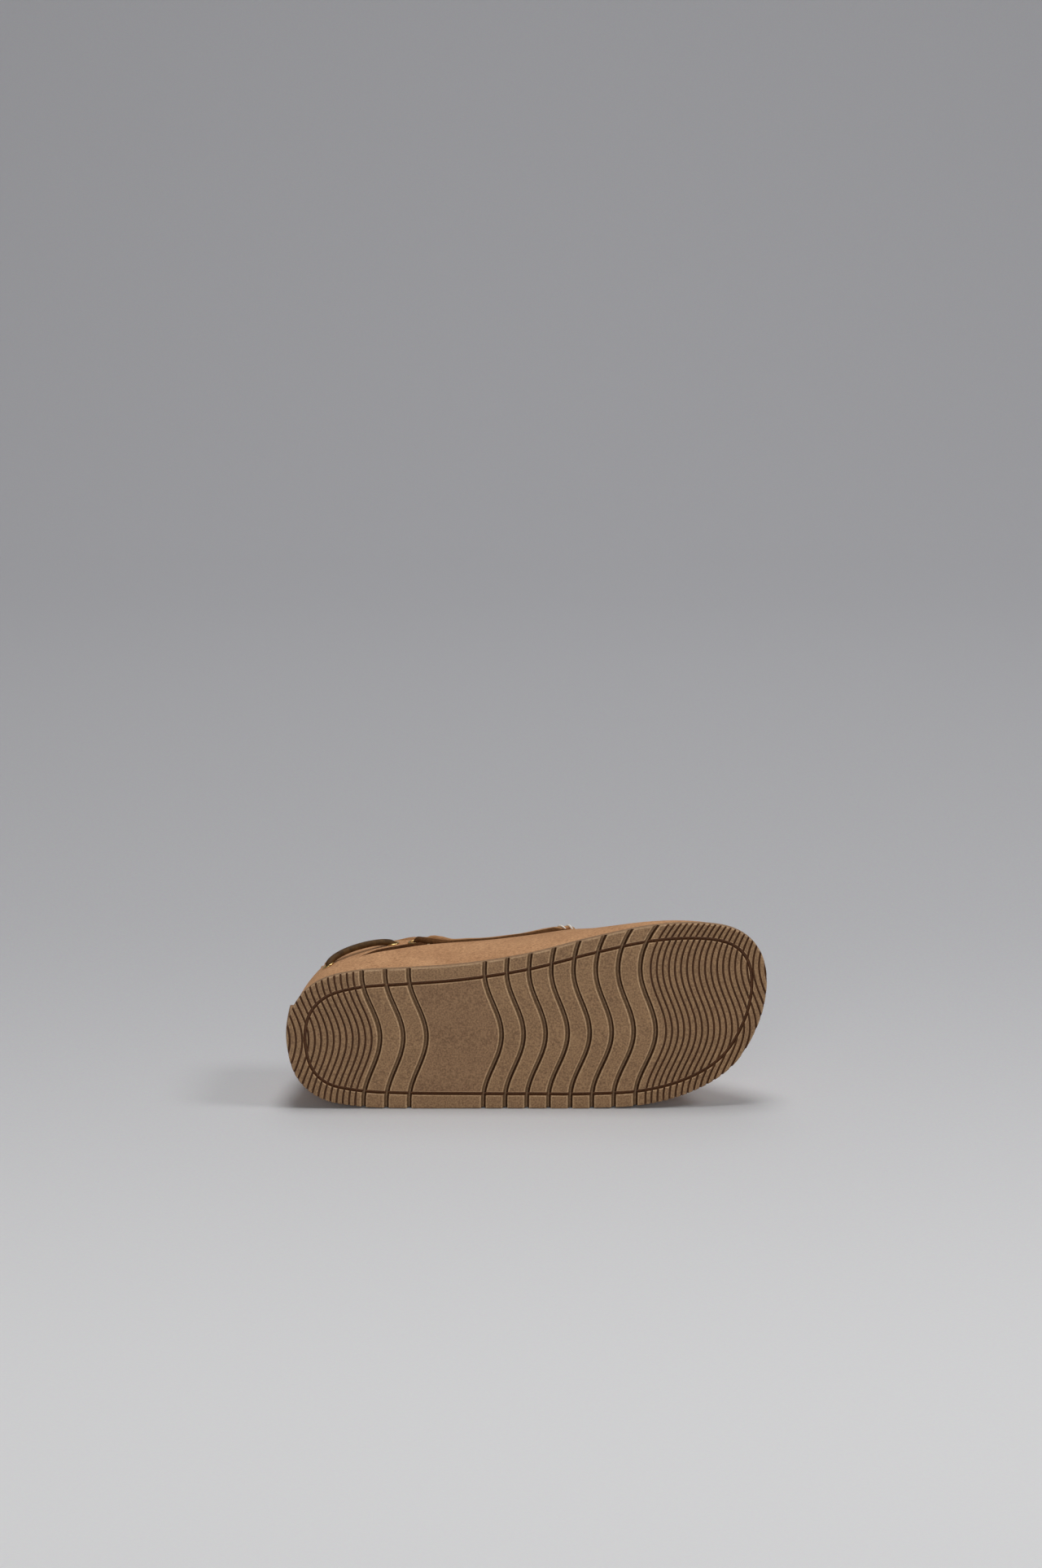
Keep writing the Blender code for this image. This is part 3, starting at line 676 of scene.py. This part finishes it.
@lru_cache(maxsize=None)
def wallSpot(turn, height):
    bottom = wallFloor(turn) + upper["lastedBand"]
    rise = max(0.0, (height - bottom) / (wallTop(turn) - bottom))
    side = "medial" if isMedial(turn) else "lateral"
    swell = bulgeShare(turn) * math.sin(math.pi * min(1.0, rise) ** upper["swellPower"])
    inset = onUpper("feather", turn) + onUpper(side, turn) * rise * rise - onUpper("bulge", turn) * swell
    spot = soleEdge(turn) - outward(turn) * inset
    return Vector((spot.x, spot.y, height))


def outerWall(turn, height):
    return wallSpot(turn, height) + outward(turn) * (wallRelief(turn, height) - edgeRecess(turn, height))


def innerWall(turn, height):
    # the lining runs smoothly behind the cuff's step and stops under the apron
    over = height - ledge(turn)
    start, finish = upper["liningSpan"]
    recess = upper["cuffStep"] * onUpper("step", turn) / mm * ease((over / mm - start) / (finish - start))
    before, under = upper["liningDrop"]
    drop = upper["wall"] * ease((stationOf(turn) - last["throat"] + before) / before)
    drop *= ease((over + under) / (onUpper("cuff", turn) + under))
    return wallSpot(turn, height) - outward(turn) * (upper["wall"] + recess) - Vector((0, 0, drop))


def wallNormal(turn, height):
    nudge, lift = last["nudge"], 0.3 * mm
    run = wallSpot(turn + nudge, height) - wallSpot(turn - nudge, height)
    rise = wallSpot(turn, height + lift) - wallSpot(turn, height - lift)
    return run.cross(rise).normalized()


def wallRows(turn):
    floor = wallFloor(turn)
    bottom = floor + upper["lastedBand"]
    edge = ledge(turn)
    quarterTop = edge - 2 * mm
    cuffBottom = edge + upper["ledgeRows"][-1] * mm
    quarter, cuff = upper["quarterRows"], upper["cuffRows"]
    rows = [floor, (floor + bottom) / 2]
    rows += [between(bottom, quarterTop, k / quarter) for k in range(quarter + 1)]
    rows += [edge + offset * mm for offset in upper["ledgeRows"]]
    rows += [between(cuffBottom, wallTop(turn), (k + 1) / cuff) for k in range(cuff)]
    return rows


def apronSpot(station, across, wall):
    medial = wall(station, wallTop(station))
    lateral = wall((360 - station) % 360, wallTop(station))
    arch = math.sin(math.pi * across)
    spot = medial.lerp(lateral, across)
    spot.z += onUpper("crown", station) * arch
    spot.x -= upper["throatLip"] * arch * max(0.0, 1 - (station - last["throat"]) / upper["lipFade"]) ** 2
    for creaseStation, depth, reach in upper["flexCreases"]:
        away = (soleEdge(station).x - soleEdge(creaseStation).x) / mm + upper["creaseSlant"] * (across - 0.5)
        spot.z -= depth * mm * arch * math.exp(-(away / reach) ** 2)
    return spot


def seamSpot(turn):
    # the apron's edge, and the way out from it between wall and apron
    station = stationOf(turn)
    edge = wallSpot(turn, wallTop(turn))
    ahead, behind = turn + last["nudge"], turn - last["nudge"]
    run = wallSpot(ahead, wallTop(ahead)) - wallSpot(behind, wallTop(behind))
    wallFace = run.cross(edge - wallSpot(turn, wallTop(turn) - beading["wallReach"])).normalized()
    if station >= 180 or station < last["throat"]:
        apronFace = Vector((0, 0, 1))
    else:
        reach = beading["apronReach"]
        beside = apronSpot(station, reach if isMedial(turn) else 1 - reach, wallSpot)
        apronFace = run.cross(beside - edge).normalized()
    return edge, (wallFace + apronFace).normalized()


def seamLengths():
    spots = [seamSpot(turn)[0] for turn in range(beading["start"], 361 - beading["start"])]
    lengths = [0.0]
    for near, far in zip(spots, spots[1:]):
        lengths.append(lengths[-1] + (far - near).length)
    return lengths


seamLength = seamLengths()


def addShellSide(bm, wall, materialIndex):
    # one face of the shell: a grid round the foot and a grid over the toes, welded at the seam
    columns = upper["turns"]
    rowCount = len(wallRows(0)) - 1
    side = bmesh.new()
    bmesh.ops.create_grid(side, x_segments=columns, y_segments=rowCount, size=1)
    for v in side.verts:
        turn = round((v.co.x + 1) / 2 * columns) % columns * 360 / columns
        v.co = wall(turn, wallRows(turn)[round((v.co.y + 1) / 2 * rowCount)])
    step = 360 / columns
    bands = round((180 - last["throat"]) / step)
    made = bmesh.ops.create_grid(side, x_segments=bands, y_segments=upper["apronColumns"], size=1)
    for v in made["verts"]:
        station = last["throat"] + round((v.co.x + 1) / 2 * bands) * step
        v.co = apronSpot(station, (v.co.y + 1) / 2, wall)
    bmesh.ops.remove_doubles(side, verts=side.verts, dist=0.02 * mm)
    bmesh.ops.dissolve_degenerate(side, dist=0.005 * mm, edges=side.edges)
    for face in side.faces:
        face.material_index = materialIndex
    pour(side, bm)


def buildUpper():
    bm = bmesh.new()
    addShellSide(bm, outerWall, 0)
    addShellSide(bm, innerWall, 1)
    openEdges = [e for e in bm.edges if e.is_boundary]
    low = [e for e in openEdges if all(v.co.z < wallFloor(180) + mm for v in e.verts)]
    high = [e for e in openEdges if e not in set(low)]
    for loops in (low, high):
        bmesh.ops.bridge_loops(bm, edges=loops)
    faceOut(bm)
    return addPiece("suede_upper", bm, [suede, lining], ["upper"])


buildUpper()

# Collar roll: the folded suede edge round the mouth of the shoe
collar = {
    "radius": 1.1 * mm,
    "corners": 12,
    "step": 1.0,
    "lipPoints": 40,
    # station, and how much wider in mm the roll is there, out over the lace, and how much taller
    "swells": [
        (56, 0), (61, 0.7), (64.8, 0.9), (66.6, 2.1), (68.4, 1.9), (71.5, 0.9),
        (76, 1.4), (87, 2.0), (93, 2.6), (96.5, 2.3), (98.5, 0),
    ],
    "rises": [
        (56, 0), (61, 0.4), (66.8, 0.6), (71, 0.7), (76, 1.2), (87, 1.8), (93, 2.2), (96.5, 2.0), (98.5, 0),
    ],
}


def buildCollar():
    bm = bmesh.new()
    throat = last["throat"]
    turns = [throat - k * collar["step"] for k in range(round(2 * throat / collar["step"]) + 1)]
    spots = []
    sizes = []
    for turn in turns:
        top = wallTop(turn)
        middle = outerWall(turn % 360, top).lerp(innerWall(turn % 360, top), 0.5)
        swell = alongStations(collar["swells"], stationOf(turn)) * mm
        rise = alongStations(collar["rises"], stationOf(turn)) * mm
        spots.append(middle + outward(turn) * swell / 2 + Vector((0, 0, rise / 2)))
        sizes.append((1 + swell / 2 / collar["radius"], 1 + rise / 2 / collar["radius"]))
    stops = framed(spots, [Vector((0, 0, 1))] * len(spots))
    stops = [(spot, across * wide, up * tall) for (spot, across, up), (wide, tall) in zip(stops, sizes)]
    sweep(bm, roundProfile(collar["radius"], collar["corners"]), stops)
    lip = []
    for k in range(collar["lipPoints"] + 1):
        across = k / collar["lipPoints"]
        outer = apronSpot(throat, across, outerWall)
        lip.append(outer.lerp(apronSpot(throat, across, innerWall), 0.5))
    sweep(bm, roundProfile(collar["radius"], collar["corners"]), framed(lip, [Vector((1, 0, 0))] * len(lip)))
    return addPiece("collar_roll", bm, [rollSuede])


buildCollar()

# Sock: the thin padded sole inside the shoe
sock = {"thickness": 3 * mm, "clearance": 0.4 * mm, "round": 1.2 * mm, "points": 180, "bendCut": 4 * mm}


def buildSock():
    bm = bmesh.new()
    count = sock["points"]
    bmesh.ops.create_circle(bm, cap_ends=True, segments=count, radius=1)
    for k, v in enumerate(bm.verts[:]):
        turn = 360 * k / count
        inset = onUpper("feather", turn) + upper["wall"] + sock["clearance"]
        v.co = soleEdge(turn) - outward(turn) * inset
    made = bmesh.ops.extrude_face_region(bm, geom=bm.faces[:])
    lifted = [g for g in made["geom"] if isinstance(g, bmesh.types.BMVert)]
    bmesh.ops.translate(bm, verts=lifted, vec=(0, 0, sock["thickness"]))
    faceOut(bm)
    rim = [e for e in bm.edges if all(v in set(lifted) for v in e.verts)]
    bmesh.ops.bevel(bm, geom=rim, offset=sock["round"], segments=3, profile=0.5, affect="EDGES", material=-1)
    cutForSpring(bm, sock["bendCut"])
    for v in bm.verts:
        v.co.z += last["soleThickness"] + last["gap"] + spring(v.co.x)
    return addPiece("sock", bm, [sockLeather], ["insole"], sharpAngle=40)


buildSock()

# Heel tab: the sole's rubber carried up the back of the heel
tab = {
    "proud": 0.4 * mm, "height": 17 * mm, "corner": 2 * mm, "slope": 3 * mm, "turn": 10,
    "columns": 20, "rows": 12, "round": 0.4 * mm, "sink": 0.3 * mm,
}


def buildTab():
    bm = bmesh.new()
    made = bmesh.ops.create_grid(bm, x_segments=tab["columns"], y_segments=tab["rows"], size=1)
    seats = {}
    for v in made["verts"]:
        turn = v.co.x * tab["turn"]
        share = (v.co.y + 1) / 2
        top = tab["height"] - tab["corner"] * v.co.x ** 2
        foot = last["soleThickness"]
        height = between(foot, top + tab["slope"], share)
        seat = wallSpot(turn, height) - outward(turn) * tab["sink"]
        v.co = soleEdge(turn) + outward(turn) * tab["proud"] + Vector((0, 0, between(foot, top, share)))
        seats[v.co.to_tuple(7)] = seat
    made = bmesh.ops.extrude_face_region(bm, geom=bm.faces[:])
    for v in [g for g in made["geom"] if isinstance(g, bmesh.types.BMVert)]:
        v.co = seats[v.co.to_tuple(7)]
    faceOut(bm)
    sharp = [e for e in bm.edges if len(e.link_faces) == 2 and e.calc_face_angle() > math.radians(40)]
    bmesh.ops.bevel(bm, geom=sharp, offset=tab["round"], segments=2, profile=0.5, affect="EDGES", material=-1)
    return addPiece("rubber_tab", bm, [gumRubber], ["heel_tab"], sharpAngle=50)


buildTab()


# Beaded seam: a suede roll along the apron's edge, with glass beads sewn slanting over it
def seamStops(step):
    count = round(seamLength[-1] / step)
    turns = []
    for k in range(count + 1):
        distance = seamLength[-1] * k / count
        leg = max(i for i in range(len(seamLength) - 1) if seamLength[i] <= distance)
        part = (distance - seamLength[leg]) / (seamLength[leg + 1] - seamLength[leg])
        turns.append(beading["start"] + leg + part)
    spots = []
    ups = []
    for turn in turns:
        edge, out = seamSpot(turn)
        spots.append(edge + out * alongStations(beading["lifts"], stationOf(turn)) * mm)
        ups.append(out)
    return framed(spots, ups)


def beadStops(spot, across, up):
    # a slender bead, bent over the roll and thinner at its ends
    run = up.cross(across)
    reach = beading["rollRadius"] + beading["beadRadius"] * beading["beadSeat"]
    shares = [k / beading["beadSteps"] for k in range(beading["beadSteps"] + 1)]
    spots = []
    ups = []
    for share in shares:
        angle = math.radians(between(*beading["beadWrap"], share))
        ups.append(up * math.cos(angle) + across * math.sin(angle))
        spots.append(spot + ups[-1] * reach + run * (beading["beadLead"] * share - beading["beadBack"]))
    stops = []
    for (place, side, top), share in zip(framed(spots, ups), shares):
        girth = min(1.0, beading["beadThin"] + 4 * share * (1 - share))
        stops.append((place, side * girth, top * girth))
    return stops


def buildBeading():
    bm = bmesh.new()
    sweep(bm, roundProfile(beading["rollRadius"], beading["rollCorners"]), seamStops(beading["rollStep"]))
    beads = bmesh.new()
    for stop in seamStops(beading["pitch"]):
        sweep(beads, roundProfile(beading["beadRadius"], beading["beadCorners"]), beadStops(*stop))
    for face in beads.faces:
        face.material_index = 1
    pour(beads, bm)
    looks = [rollSuede, beadGlass]
    return addPiece("beaded_roll", bm, looks, ["beaded_seam"], sharpAngle=50)


buildBeading()

# Lace and eyelets
eyelets = {
    "places": {"heel": (32, 33 * mm), "quarter": (55.4, 50 * mm), "side": (61.5, 48 * mm)},  # station, height
    "radius": 2.5 * mm,
    "wire": 0.55 * mm,
    "flatten": 0.75,
    "sides": 10,
    "steps": 32,
}
lace = {
    "radius": 1.6 * mm,
    "corners": 12,
    "flatten": 0.95,
    "bow": 3.0 * mm,  # how far the back stretch stands off the cuff
    "bowPower": 0.3,  # the lower, the sooner it does
    "crest": 2.2 * mm,  # and how far it bends upwards
    "tuck": 1.0 * mm,  # how far its ends go into the eyelets
    # station of the side stretch and its lift off the cuff in mm: it comes out of the side eyelet,
    # falls to the quarter's edge and goes on under the collar roll
    "sideLifts": [
        (61.5, -0.5), (62.8, 1.7), (65.5, 1.8), (71, 0.4), (82, 0.5),
        (87, 0.9), (93, 1.1), (96, 1.0), (98, -0.2),
    ],
    "sideSeat": 0.5 * mm,  # its height over the quarter's edge
    "sideCrowd": 1.5,  # above 1, its points crowd at the eyelet
    "fallEnd": 67.5,
    "endGirths": (0.45, 0.75),  # it thins where it goes in at its front end
    "points": 48,
}


def sideTurn(station, medial):
    return station if medial else 360 - station


def cuffSpot(turn, height, lift):
    return wallSpot(turn, height) + outward(turn) * (lift - edgeRecess(turn, height))


def buildEyelet(name, node, turn, height):
    bm = bmesh.new()
    made = bmesh.ops.create_circle(bm, segments=eyelets["sides"], radius=eyelets["wire"])
    for v in made["verts"]:
        v.co = Vector((eyelets["radius"] + v.co.x, 0, v.co.y * eyelets["flatten"]))
    bmesh.ops.spin(
        bm, geom=bm.verts[:] + bm.edges[:], cent=(0, 0, 0), axis=(0, 0, 1), angle=math.tau,
        steps=eyelets["steps"], use_merge=True,
    )
    faceOut(bm)
    facing = wallNormal(turn, height)
    centre = cuffSpot(turn, height, 0) + facing * eyelets["wire"] / 2
    place = Matrix.Translation(centre) @ facing.to_track_quat("Z", "Y").to_matrix().to_4x4()
    bmesh.ops.transform(bm, matrix=place, verts=bm.verts)
    return addPiece(name, bm, [brass], [node])


def buildLace(name, node, look, path, ups):
    bm = bmesh.new()
    stops = framed(path, ups)
    for k, girth in enumerate(lace["endGirths"]):
        spot, across, up = stops[-1 - k]
        stops[-1 - k] = (spot, across * girth, up * girth)
    sweep(bm, roundProfile(lace["radius"], lace["corners"], lace["flatten"]), stops)
    return addPiece(name, bm, [look], [node], sharpAngle=60)


def lacePath(medial, stretch):
    heel, quarter, side = (eyelets["places"][spot] for spot in ("heel", "quarter", "side"))
    path = []
    ups = []
    for k in range(lace["points"] + 1):
        if stretch == "back":
            share = (1 - math.cos(math.pi * k / lace["points"])) / 2
            arch = math.sin(math.pi * share) if 0 < k < lace["points"] else 0.0
            turn = sideTurn(between(heel[0], quarter[0], share), medial)
            height = between(heel[1], quarter[1], share) + lace["crest"] * arch
            lift = between(-lace["tuck"], lace["bow"], arch ** lace["bowPower"])
        else:
            start, finish = lace["sideLifts"][0][0], lace["sideLifts"][-1][0]
            station = between(start, finish, (k / lace["points"]) ** lace["sideCrowd"])
            turn = sideTurn(station, medial)
            seat = ledge(turn) + lace["sideSeat"] + lace["radius"]
            height = between(side[1], seat, ease((station - start) / (lace["fallEnd"] - start)))
            lift = alongStations(lace["sideLifts"], station) * mm
        path.append(cuffSpot(turn, height, lift))
        ups.append(outward(turn))
    return path, ups


for medial in (True, False):
    word = "medial" if medial else "lateral"
    for spot, (station, height) in eyelets["places"].items():
        buildEyelet(f"brass_{word}_{spot}", f"eyelet_{word}_{spot}", sideTurn(station, medial), height)
    buildLace(f"lace_strip_{word}_back", f"lace_{word}_back", laceLeather, *lacePath(medial, "back"))
    buildLace(f"lace_strip_{word}_side", f"lace_{word}_side", stripLeather, *lacePath(medial, "side"))

# Shadow line: a dark suede cord laid as painted shadow in the step between quarter and cuff
shadowLine = {
    "stations": (43, 66.5),
    "radius": 1.1 * mm,
    "corners": 10,
    "lift": 1.1 * mm,  # off the cuff
    "rise": 0.9 * mm,  # over the quarter's edge
    "points": 36,
    "thin": 0.3,  # share of its girth at both ends
    "tapers": (12, 5),  # points from each end to its full girth
}


def buildShadowLine():
    bm = bmesh.new()
    count = shadowLine["points"]
    back, front = shadowLine["tapers"]
    fullness = [min(1.0, k / back, (count - k) / front) for k in range(count + 1)]
    for medial in (True, False):
        path = []
        ups = []
        for k, full in enumerate(fullness):
            turn = sideTurn(between(*shadowLine["stations"], k / count), medial)
            path.append(cuffSpot(turn, ledge(turn) + shadowLine["rise"], shadowLine["lift"] * full))
            ups.append(outward(turn))
        stops = []
        for (spot, across, up), full in zip(framed(path, ups), fullness):
            girth = between(shadowLine["thin"], 1.0, full)
            stops.append((spot, across * girth, up * girth))
        sweep(bm, roundProfile(shadowLine["radius"], shadowLine["corners"]), stops)
    return addPiece("cuff_shadow_line", bm, [shadowLineSuede], sharpAngle=60)


buildShadowLine()

# Stitches: a tan row under the collar round the heel, and two tacks where the lace comes down on each side
stitching = {
    "turns": (304, 416),
    "seek": 0.2,  # turn by which the row goes on until it has a stitch's length
    "pitch": 2.6 * mm,
    "length": 1.9 * mm,
    "radius": 0.24 * mm,
    "corners": 6,
    "arch": 2.2,  # radii that its middle stands up over its ends
    "sink": 0.6,  # radii that its ends go in
    "belowTop": 3.2 * mm,
    "tackStations": (65.35, 65.65),
    "tackSpan": (-1.8 * mm, -0.2 * mm),  # from the quarter's edge
}


def addStitch(bm, start, finish, out):
    stops = []
    across = (finish - start).cross(out).normalized()
    for share in (0, 0.25, 0.5, 0.75, 1):
        lift = stitching["arch"] * math.sin(math.pi * share) - stitching["sink"]
        stops.append((start.lerp(finish, share) + out * stitching["radius"] * lift, across, out))
    sweep(bm, roundProfile(stitching["radius"], stitching["corners"]), stops)


def rowSpot(turn):
    return outerWall(turn % 360, wallTop(turn) - stitching["belowTop"])


def buildStitches():
    bm = bmesh.new()
    turn, finish = stitching["turns"]
    while turn < finish:
        spot = rowSpot(turn)
        ahead = turn
        while (rowSpot(ahead) - spot).length < stitching["length"]:
            ahead += stitching["seek"]
        addStitch(bm, spot, rowSpot(ahead), wallNormal(turn % 360, wallTop(turn) - stitching["belowTop"]))
        while (rowSpot(ahead) - spot).length < stitching["pitch"]:
            ahead += stitching["seek"]
        turn = ahead
    addPiece("tan_stitches", bm, [tanThread])
    bm = bmesh.new()
    low, high = stitching["tackSpan"]
    for medial in (True, False):
        for station in stitching["tackStations"]:
            turn = sideTurn(station, medial)
            edge = ledge(turn)
            facing = wallNormal(turn, edge + (low + high) / 2)
            addStitch(bm, outerWall(turn, edge + low), outerWall(turn, edge + high), facing)
    addPiece("tan_tacks", bm, [tanThread])


buildStitches()

# Stage: a pale board on the floor that bends up behind the shoe
stage = {"halfWidth": 3.0, "front": -3.0, "bendStart": 1.4, "bendRadius": 1.2, "height": 3.0}


def makeBackdrop(name):
    # matt board with painted light fall-off: brighter towards the camera, darker further back, with a tone of
    # its own up the wall
    look, spot = newLook(name)
    depth = addNode(look, "SeparateXYZ", None, {"Vector": spot}).outputs["Y"]
    soft = {"interpolation_type": "SMOOTHSTEP"}
    floorShare = addNode(look, "MapRange", {"From Min": -0.55, "From Max": 0.4}, {"Value": depth}, **soft)
    wallShare = addNode(look, "MapRange", {"From Min": 0.5, "From Max": 1.6}, {"Value": depth}, **soft)
    # painted light fall-off: pale near the camera, darker far back, and the wall's own tone
    near, far, wall = linear("#e8e8e9"), linear("#c4c4c7"), linear("#d2d2d6")
    board = addNode(look, "Mix", {6: near, 7: far}, {0: floorShare.outputs[0]}, data_type="RGBA").outputs[2]
    tone = addNode(look, "Mix", {7: wall}, {0: wallShare.outputs[0], 6: board}, data_type="RGBA").outputs[2]
    grain = addNode(look, "TexNoise", {"Scale": 1 / (1.2 * mm), "Detail": 2}, {"Vector": spot})
    colour = addNode(
        look, "Mix", {0: 0.12}, {6: tone, 7: grain.outputs["Color"]}, data_type="RGBA", blend_type="OVERLAY",
    )
    bump = addNode(look, "Bump", {"Strength": 0.05, "Distance": 0.1 * mm}, {"Height": grain.outputs["Fac"]})
    values = {"Roughness": 0.9, "Specular IOR Level": 0.2}
    return finishLook(look, colour.outputs[2], values, bump.outputs["Normal"])


def buildStage():
    bm = bmesh.new()
    bmesh.ops.create_grid(bm, x_segments=2, y_segments=60, size=1)
    flat = stage["bendStart"] - stage["front"]
    arc = stage["bendRadius"] * math.pi / 2
    for v in bm.verts:
        run = (v.co.y + 1) / 2 * (flat + arc + stage["height"])
        turned = min(max(0.0, run - flat), arc) / stage["bendRadius"]
        y = stage["front"] + min(run, flat) + stage["bendRadius"] * math.sin(turned)
        z = stage["bendRadius"] * (1 - math.cos(turned)) + max(0.0, run - flat - arc)
        v.co = (v.co.x * stage["halfWidth"], y, z)
    mesh = bpy.data.meshes.new("backdrop")
    bm.to_mesh(mesh)
    bm.free()
    mesh.shade_smooth()
    mesh.materials.append(makeBackdrop("board with painted light fall-off"))
    sweepBoard = bpy.data.objects.new("backdrop", mesh)
    stageCollection.objects.link(sweepBoard)


buildStage()

# Lights: a key from the right and a broad lamp overhead, with a low one in front and a weak one behind
lights = {
    # azimuth from the front to the right, elevation, distance, size and power
    "key": (75, 46, 2.4, 0.7, 11),
    "overhead": (0, 88, 2.2, 0.9, 20),
    "front": (-5, 12, 2.4, 1.2, 14),
    "back": (180, 65, 2.2, 1.3, 4),
}
ambient = {"colour": "#ffffff", "strength": 0.13}
aim = Vector((0, 0, 30 * mm))


def buildLights():
    for name, (azimuth, elevation, distance, size, power) in lights.items():
        a, e = math.radians(azimuth), math.radians(elevation)
        away = Vector((math.sin(a) * math.cos(e), -math.cos(a) * math.cos(e), math.sin(e)))
        lamp = bpy.data.lights.new(name, "AREA")
        lamp.shape = "DISK"
        lamp.size = size
        lamp.energy = power
        holder = bpy.data.objects.new(name, lamp)
        holder.location = aim + away * distance
        holder.rotation_euler = away.to_track_quat("Z", "Y").to_euler()
        stageCollection.objects.link(holder)
    world = bpy.data.worlds.new("studio")
    world.use_nodes = True
    shade = world.node_tree.nodes["Background"]
    shade.inputs["Color"].default_value = linear(ambient["colour"])
    shade.inputs["Strength"].default_value = ambient["strength"]
    bpy.context.scene.world = world


buildLights()

# Camera: low in front of the sole, as in the photograph of 1280 x 1927 pixels
view = {
    "elevation": 15.3,
    "distance": 2.0,
    "lens": 100.4,
    "sensor": 36.0,  # along the picture's long side
    "picture": (1280, 1927),
    "shoePixel": (646.5, 1251.2),  # where the middle of the shoe comes out
}


def buildCamera():
    camera = bpy.data.cameras.new("camera")
    camera.lens = view["lens"]
    camera.sensor_width = view["sensor"]
    holder = bpy.data.objects.new("camera", camera)
    elevation = math.radians(view["elevation"])
    pixels = view["lens"] / view["sensor"] * view["picture"][1]
    low, high = cadBox
    target = Vector((0, low.y, (low.z + high.z) / 2))
    holder.location = target + view["distance"] * Vector((0, -math.cos(elevation), math.sin(elevation)))
    holder.location.x = -(view["shoePixel"][0] - view["picture"][0] / 2) / pixels * view["distance"]
    lift = math.atan((view["shoePixel"][1] - view["picture"][1] / 2) / pixels)
    holder.rotation_euler = (math.pi / 2 - elevation + lift, 0, 0)
    stageCollection.objects.link(holder)
    bpy.context.scene.camera = holder


buildCamera()
print("stage, lights and camera ready")
